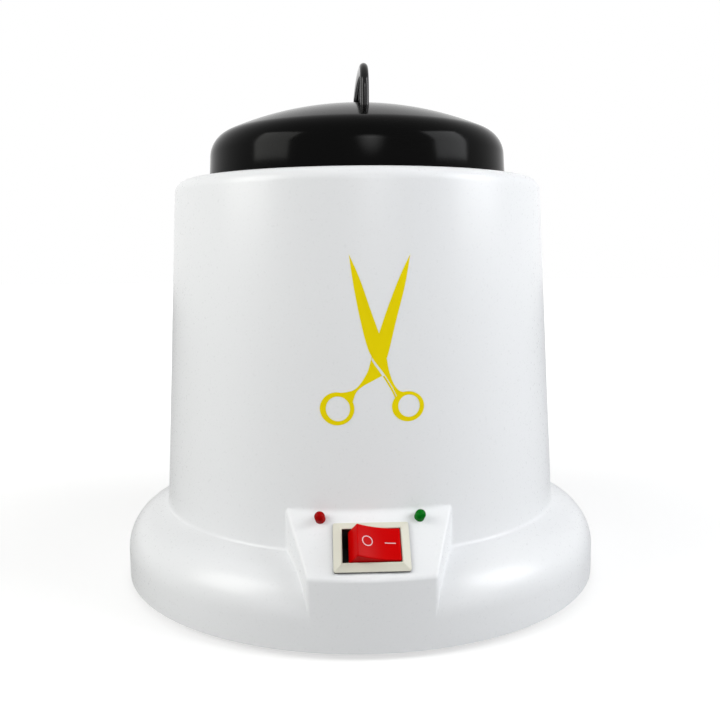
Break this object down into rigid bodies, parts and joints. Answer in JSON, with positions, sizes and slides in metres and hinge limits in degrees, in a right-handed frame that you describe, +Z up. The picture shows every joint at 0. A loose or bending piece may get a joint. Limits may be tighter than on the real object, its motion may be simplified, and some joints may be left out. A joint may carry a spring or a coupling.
{
  "type": "nail tool sterilizer",
  "caption": "Round bead-bath nail tool sterilizer: tapered gloss white housing, black domed lift-off lid with wire handle, sloped console with a red rocker switch and two lamps.",
  "frame": {"origin": "The middle of the rectangle of ground that the part covers, on the ground under its feet", "axes": "+Z up; the console with the switch faces -Y; +X is to the right of someone who faces the console"},
  "size_m": [0.162, 0.1622, 0.1696],
  "materials": {
    "gloss_plastic_white": "gloss moulded, cool white",
    "gloss_plastic_black": "gloss moulded, black",
    "handle_black": "gloss enamel on bent wire",
    "plate_plastic": "fine spark-eroded texture",
    "ivory_plastic": "smooth moulded",
    "red_plastic": "gloss moulded, red",
    "black_plastic": "smooth moulded",
    "red_lens": "clear tinted lens",
    "green_lens": "clear tinted lens",
    "rubber_grey": "matt",
    "drawn_steel": "deep drawn stainless, satin",
    "clad_steel": "rolled, slightly straw-coloured by heat",
    "tinned_steel": "plain tinned sheet",
    "zinc_steel": "zinc plated",
    "brass_blades": "stamped brass",
    "fibre_board": "mica and fibre sheet",
    "ceramic_wool": "felted ceramic fibre",
    "board_laminate": "phenolic laminate",
    "resistor_body": "lacquered ceramic"
  },
  "bodies": {
    "base": {"housing": "gloss_plastic_white", "base_plate": "plate_plastic", "foot_front_left": "rubber_grey", "foot_front_right": "rubber_grey", "foot_rear_left": "rubber_grey", "foot_rear_right": "rubber_grey", "base_screws": "zinc_steel", "pot": "drawn_steel", "pot_ring": "fibre_board", "pot_screws": "zinc_steel", "pot_nuts": "zinc_steel", "heater_band": "clad_steel", "heater_nuts": "zinc_steel", "band_screw": "zinc_steel", "band_nut": "zinc_steel", "insulation": "ceramic_wool", "heat_shield": "tinned_steel", "shield_screws": "zinc_steel", "thermostat": "black_plastic", "thermostat_nuts": "zinc_steel", "thermal_fuse": "tinned_steel", "fuse_clip": "tinned_steel", "switch_body": "ivory_plastic", "switch_terminals": "brass_blades", "led_red": "red_lens", "led_green": "green_lens", "led_leads": "tinned_steel", "indicator_board": "board_laminate", "resistors": "resistor_body", "board_screws": "zinc_steel", "terminal_block": "ivory_plastic", "terminal_screws": "brass_blades", "block_screws": "zinc_steel", "cord_gland": "black_plastic", "lid": "gloss_plastic_black", "lid_handle": "handle_black", "handle_nuts": "zinc_steel", "handle_washers": "zinc_steel"},
    "rocker": {"rocker": "red_plastic"}
  },
  "joints": [
    {"name": "rocker_tip", "type": "hinge", "parent": "base", "child": "rocker", "pos_m": [0, -0.07222, 0.02746], "axis": [0, -0.6997, -0.7145], "range_deg": [0, 34]}
  ]
}
